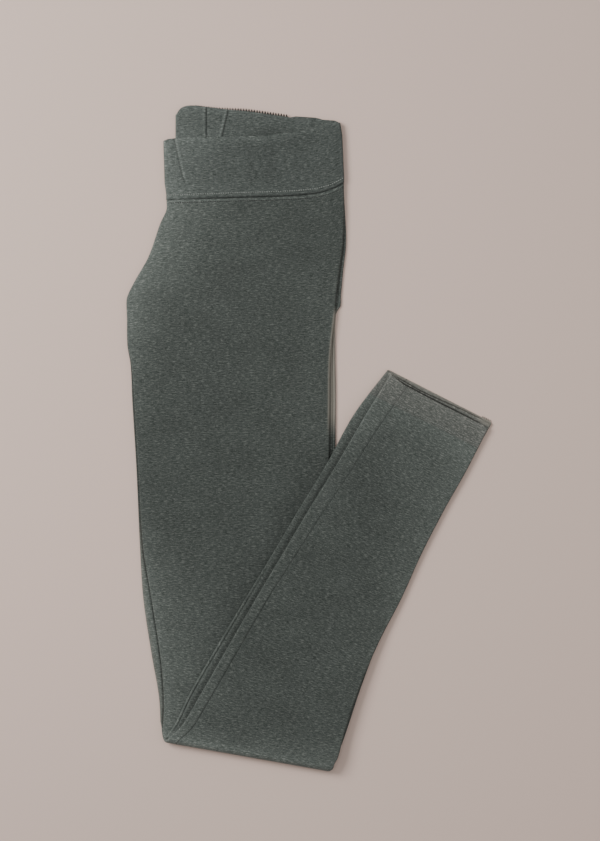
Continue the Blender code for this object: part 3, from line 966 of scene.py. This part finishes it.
def bandRow(r):
    # one row round the waistband: its points, heights over the seam, painted shades and painted highlights
    rises = band["seamRises"]
    (middle, half), (creaseLow, creaseFade) = band["liftSpan"], band["creaseStart"]
    share = 0.0 if r < len(rises) else (r - len(rises) + 1) / band["rows"]
    row, heights, shades, blooms = [], [], [], []
    for x, z, back, layer, rise in bandLoop(share):
        seam = seamY(x) + legShape["seamGap"]
        front, high = readCurve(band["frontTop"], x), readCurve(band["backTop"], x)
        if layer == "farBack":
            high += 1.6 * within(x, (-19, 5), (14, 8))
        top = mix(front, high, smooth(back)) - band["wall"] / 2
        y = seam + rises[r] if r < len(rises) else mix(seam + band["firstRow"], top, share)
        # painted highlight below the top edge, in a soft patch, and strongest towards the left fold
        bloom = 0.25 * hump(top - y, 4) + 0.1 * hump(x - 10, 14)
        bloom = min(bloom + 0.95 * fading(x - band["leftEdge"][-1][1], 32), 1.0)
        dark, extra = 0.0, 0.0
        if layer == "nearFront":
            lift = smooth((y - (front - band["liftHeight"])) / band["liftHeight"])
            z += lift * (band["lift"] * hump(x - middle, half) + band["sideLift"])
            dark, extra = frontMarks(x, y, share, seam, front)
        if layer == "nearBack":
            z += rise * smooth((y - front + 3.5) / 4)
        if layer == "nearBack" and y > front:
            bloom = bloom * 0.6 + 0.14
            dark, extra = insideMarks(x, y, share, front)
        z *= 1 + bandCrease(x, y) * smooth((y - seam - creaseLow) / creaseFade)
        # the first rows turn down into the seam's groove, with painted shade in it
        if r < len(legShape["seamSink"]):
            z += legShape["seamSink"][r] * (1 if z < stackMiddle else -1)
            dark += legShape["seamShade"][r] * seamDark(x)
        row.append((x, y, z))
        heights.append(y - seam)
        shades.append(min(dark, 0.85))
        blooms.append(bloom + extra)
    return row, heights, shades, blooms


def makeWaistband():
    rows = [bandRow(r) for r in range(band["rows"] + len(band["seamRises"]))]
    points, v, shades, blooms = (list(kind) for kind in zip(*rows))
    u = [[a + band["gauge"] for a in lengthsAlong(row + row[:1])] for row in points]
    marks = {"seamShade": shades, "paintedHighlight": blooms, "rimHighlight": [[0.0] * len(row) for row in points]}
    return clothShell("waistbandCloth", points, u, v, band["wall"], marks, bandMaterial)


waistband, bandOuter = makeWaistband()
bandLayers = [p[3] for p in bandLoop(0.0)]


# Threads, by Geometry Nodes along rows taken from the cloth

threads = {"Pitch": 2.1, "Stitch Length": 1.4, "Thread Width": 1.2, "Thread Height": 0.95}
hemThreads = {"Pitch": 2.4, "Stitch Length": 1.9, "Thread Width": 0.55, "Thread Height": 0.35}
overlock = {
    "from": -106,
    "to": -17,
    "slip": ((-96, -1.1), (-56, 0.8)),  # place, and how far the loops sit past the edge there
    "sink": 0.4,
    "loops": {"Loop Pitch": 2.5, "Loop Reach": 2.1, "Loop Rise": 0.9, "Thread Width": 0.95},
}
fringe = {
    "columns": 13,  # of the near hem's layer, up to its right corner
    "past": 0.6,
    "lowest": 0.9,
    "loops": {"Loop Pitch": 1.92, "Loop Reach": 1.5, "Loop Rise": 0.2, "Thread Width": 0.6},
}
loopPoints = 8  # to one overlock loop
threadShades = ((0.3, 0.7), (0.7, 1.25))  # where in the noise, and how light


def threadMaterial(name, color):
    material, tree, shader = newMaterial(name)
    where = addNode(tree, "ShaderNodeTexCoord", {})
    grain = {"Scale": 900, "Detail": 2, "Vector": where.outputs["Object"]}
    texture = addNode(tree, "ShaderNodeTexNoise", grain)
    ramp = addNode(tree, "ShaderNodeValToRGB", {"Fac": texture.outputs["Fac"]})
    for element, (position, light) in zip(ramp.color_ramp.elements, threadShades):
        element.position = position
        element.color = (*[c * light for c in color], 1)
    feed(tree, shader, {"Base Color": ramp.outputs["Color"], "Roughness": 0.7, "Sheen Weight": 0.1})
    return material


def threadTree(name, sizes):
    # an empty tree that takes a line of points and the thread's sizes
    tree = bpy.data.node_groups.new(name, "GeometryNodeTree")
    addSockets(tree, "INPUT", "Geometry", "Geometry")
    addSockets(tree, "INPUT", "Float", *sizes)
    addSockets(tree, "INPUT", "Int", "Seed")
    addSockets(tree, "INPUT", "Material", "Material")
    addSockets(tree, "OUTPUT", "Geometry", "Geometry")
    given = tree.nodes.new("NodeGroupInput").outputs
    curve = addNode(tree, "GeometryNodeMeshToCurve", {"Mesh": given["Geometry"]})
    return tree, given, curve.outputs["Curve"]


def finishTree(tree, given, made):
    real = addNode(tree, "GeometryNodeRealizeInstances", {"Geometry": made})
    even = addNode(tree, "GeometryNodeSetShadeSmooth", {"Geometry": real.outputs["Geometry"]})
    paint = {"Geometry": even.outputs["Geometry"], "Material": given["Material"]}
    painted = addNode(tree, "GeometryNodeSetMaterial", paint)
    addNode(tree, "NodeGroupOutput", {"Geometry": painted.outputs["Geometry"]})
    return tree


def stitchTree():
    # a flat bead for each stitch, each a little longer or shorter
    tree, given, curve = threadTree("stitchRow", threads)
    spots = addNode(
        tree, "GeometryNodeCurveToPoints", {"Curve": curve, "Length": given["Pitch"]}, mode="LENGTH"
    ).outputs
    stitch = addNode(tree, "GeometryNodeMeshUVSphere", {"Segments": 8, "Rings": 5, "Radius": 0.5})
    sides = {"X": given["Thread Height"], "Y": given["Thread Width"], "Z": given["Stitch Length"]}
    size = addNode(tree, "ShaderNodeCombineXYZ", sides)
    limits = {2: 0.85, 3: 1.1, "Seed": given["Seed"]}
    uneven = addNode(tree, "FunctionNodeRandomValue", limits, data_type="FLOAT")
    scale = {0: size.outputs["Vector"], "Scale": uneven.outputs[1]}
    scaled = addNode(tree, "ShaderNodeVectorMath", scale, operation="SCALE")
    rows = addNode(tree, "GeometryNodeInstanceOnPoints", {
        "Points": spots["Points"],
        "Rotation": spots["Rotation"],
        "Scale": scaled.outputs["Vector"],
        "Instance": stitch.outputs["Mesh"],
    })
    return finishTree(tree, given, rows.outputs["Instances"])


def edgingTree():
    # a thread that loops to and fro over a raw edge
    tree, given, curve = threadTree("overlockEdge", overlock["loops"])
    even = {"Curve": curve, "Length": calculate(tree, "DIVIDE", given["Loop Pitch"], loopPoints)}
    line = addNode(tree, "GeometryNodeResampleCurve", even, mode="LENGTH")
    index = tree.nodes.new("GeometryNodeInputIndex").outputs[0]
    turn = calculate(tree, "MULTIPLY", index, 2 * math.pi / loopPoints)
    point = calculate(tree, "POWER", calculate(tree, "SINE", turn), 3)
    offset = addNode(tree, "ShaderNodeCombineXYZ", {
        "Y": calculate(tree, "MULTIPLY", point, given["Loop Reach"]),
        "Z": calculate(tree, "MULTIPLY", calculate(tree, "COSINE", turn), given["Loop Rise"]),
    })
    move = {"Geometry": line.outputs["Curve"], "Offset": offset.outputs["Vector"]}
    moved = addNode(tree, "GeometryNodeSetPosition", move)
    radius = calculate(tree, "MULTIPLY", given["Thread Width"], 0.5)
    profile = addNode(tree, "GeometryNodeCurvePrimitiveCircle", {"Resolution": 6, "Radius": radius})
    tube = addNode(tree, "GeometryNodeCurveToMesh", {
        "Curve": moved.outputs["Geometry"],
        "Profile Curve": profile.outputs["Curve"],
        "Fill Caps": True,
    })
    return finishTree(tree, given, tube.outputs["Mesh"])


def runTree(name, paths, tree, material, seed, sizes):
    # the tree's result on open lines of points, as a plain mesh
    values = {label: size * mm for label, size in sizes.items()}
    values.update({"Seed": seed, "Material": material})
    verts, edges = [], []
    for path in paths:
        first = len(verts)
        verts += [tuple(c * mm for c in p) for p in path]
        edges += [(first + k, first + k + 1) for k in range(len(path) - 1)]
    mesh = bpy.data.meshes.new(name + "Path")
    mesh.from_pydata(verts, edges, [])
    source = addPiece(name + "Path", mesh)
    modifier = source.modifiers.new("threads", "NODES")
    modifier.node_group = tree
    for socket in tree.interface.items_tree:
        if socket.item_type == "SOCKET" and socket.in_out == "INPUT" and socket.name in values:
            modifier[socket.identifier] = values[socket.name]
    depsgraph = bpy.context.evaluated_depsgraph_get()
    made = bpy.data.meshes.new_from_object(source.evaluated_get(depsgraph))
    made.name = name
    source.modifiers.remove(modifier)
    bpy.data.objects.remove(source)
    print(name, "made")
    return addPiece(name, made)


def layerPath(outer, row, first, last):
    lowest = threads["Thread Height"] * 0.55  # nothing reaches below the cloth it lies on
    return [(x, y, max(z, lowest)) for x, y, z in outer[row, first:last]]


def frontPath(outer, leg, row):
    return layerPath(outer, row, 0, frontCount(leg))


def bandPath(layer, row):
    first = bandLayers.index(layer)
    return layerPath(bandOuter, row, first, first + bandLayers.count(layer))


stitches, loopsOver = stitchTree(), edgingTree()
lightThread = threadMaterial("lightThread", (0.205, 0.225, 0.208))
darkThread = threadMaterial("darkThread", (0.010, 0.012, 0.011))
paleThread = threadMaterial("paleThread", (0.230, 0.215, 0.185))

seamStitchRow, hemStitchRow = 3, 2  # rows of the cloth that the stitches lie on
bandRows = [bandPath("nearFront", seamStitchRow), bandPath("farFront", seamStitchRow)]
legRows = [frontPath(nearOuter, nearLeg, seamStitchRow), frontPath(farOuter, farLeg, seamStitchRow)]
hemRows = [frontPath(farHemOuter, farLeg, hemStitchRow), frontPath(nearHemOuter, nearLeg, hemStitchRow)]
bandStitches = runTree("bandStitches", bandRows, stitches, lightThread, 3, threads)
legStitches = runTree("legStitches", legRows, stitches, darkThread, 5, threads)

(slipStart, slipLow), (slipEnd, slipHigh) = overlock["slip"]
topLine = []
for x, y, z in bandPath("nearBack", -1):
    if overlock["from"] < x < overlock["to"]:
        slip = mix(slipLow, slipHigh, smooth((x - slipStart) / (slipEnd - slipStart)))
        topLine.append((x, y + slip, z - overlock["sink"]))
backEdging = runTree("backEdging", [topLine], loopsOver, darkThread, 0, overlock["loops"])
hemStitches = runTree("hemStitches", hemRows, stitches, lightThread, 7, hemThreads)
corner = frontPath(nearHemOuter, nearLeg, -1)[-fringe["columns"]:]
cornerLine = [(x, y + fringe["past"], max(z, fringe["lowest"])) for x, y, z in corner]
cornerEdging = runTree("cornerEdging", [cornerLine], loopsOver, paleThread, 0, fringe["loops"])


# What each piece stands for

for piece, nodes, slot in (
    (farPiece, ("far_leg",), "leg_knit"),
    (nearPiece, ("near_leg", "hidden_layers"), "leg_knit"),
    (farHem, ("far_hem",), "hem_knit"),
    (nearHem, ("near_hem",), "hem_knit"),
    (waistband, ("waistband",), "waistband_knit"),
):
    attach(piece, "root")
    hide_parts(*nodes)
for piece in (bandStitches, legStitches, backEdging, hemStitches, cornerEdging):
    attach(piece, "root")

print("pieces placed")


# Floor, light and camera

studio = {
    "floorColor": (0.655, 0.518, 0.455),
    "floorSize": 16.0,
    "worldColor": (1.0, 0.97, 0.95),
    "worldStrength": 0.36,
    "lens": 85,
    "sensor": 36,
    "lookAt": (-0.0080, 0.0155, 0.006),  # from the middle of the part
    "tableShown": 0.7737,  # metres of table that the tall side of the view covers
}
lights = (  # name, place, width and depth, watts, colour
    ("key", (-1.1, 0.55, 1.15), (0.8, 0.8), 27, (1.0, 0.98, 0.96)),
    ("top", (0.2, 0.5, 2.3), (1.6, 1.6), 12, (1.0, 0.98, 0.97)),
    ("fill", (1.7, -0.5, 1.4), (1.4, 1.4), 5, (1.0, 0.97, 0.95)),
)


def makeFloor():
    half = studio["floorSize"] / 2
    z = cadLow.z - 0.0001
    mesh = bpy.data.meshes.new("floor")
    corners = [(-half, -half, z), (half, -half, z), (half, half, z), (-half, half, z)]
    mesh.from_pydata(corners, [], [(0, 1, 2, 3)])
    material, tree, shader = newMaterial("floorPaint")
    color = (*studio["floorColor"], 1)
    feed(tree, shader, {"Base Color": color, "Roughness": 0.9, "Specular IOR Level": 0.1})
    mesh.materials.append(material)
    addPiece("floor", mesh)


def addLight(name, position, size, energy, color):
    light = bpy.data.lights.new(name, "AREA")
    light.shape = "RECTANGLE"
    light.size, light.size_y = size
    light.energy = energy
    light.color = color
    lamp = addPiece(name, light)
    lamp.location = position
    lamp.rotation_mode = "QUATERNION"
    lamp.rotation_quaternion = (-Vector(position)).to_track_quat("-Z", "Y")


def makeWorld():
    world = bpy.data.worlds.new("studio")
    bpy.context.scene.world = world
    world.use_nodes = True
    look = {"Color": (*studio["worldColor"], 1), "Strength": studio["worldStrength"]}
    feed(world.node_tree, world.node_tree.nodes["Background"], look)


def makeCamera():
    camera = bpy.data.cameras.new("camera")
    camera.lens = studio["lens"]
    camera.sensor_width = studio["sensor"]
    aside, along, up = studio["lookAt"]
    lookAt = Vector(((cadLow.x + cadHigh.x) / 2 + aside, (cadLow.y + cadHigh.y) / 2 + along, up))
    holder = addPiece("camera", camera)
    holder.location = lookAt + Vector((0, 0, studio["tableShown"] * camera.lens / camera.sensor_width))
    bpy.context.scene.camera = holder


makeFloor()
for light in lights:
    addLight(*light)
makeWorld()
makeCamera()
print("studio ready")
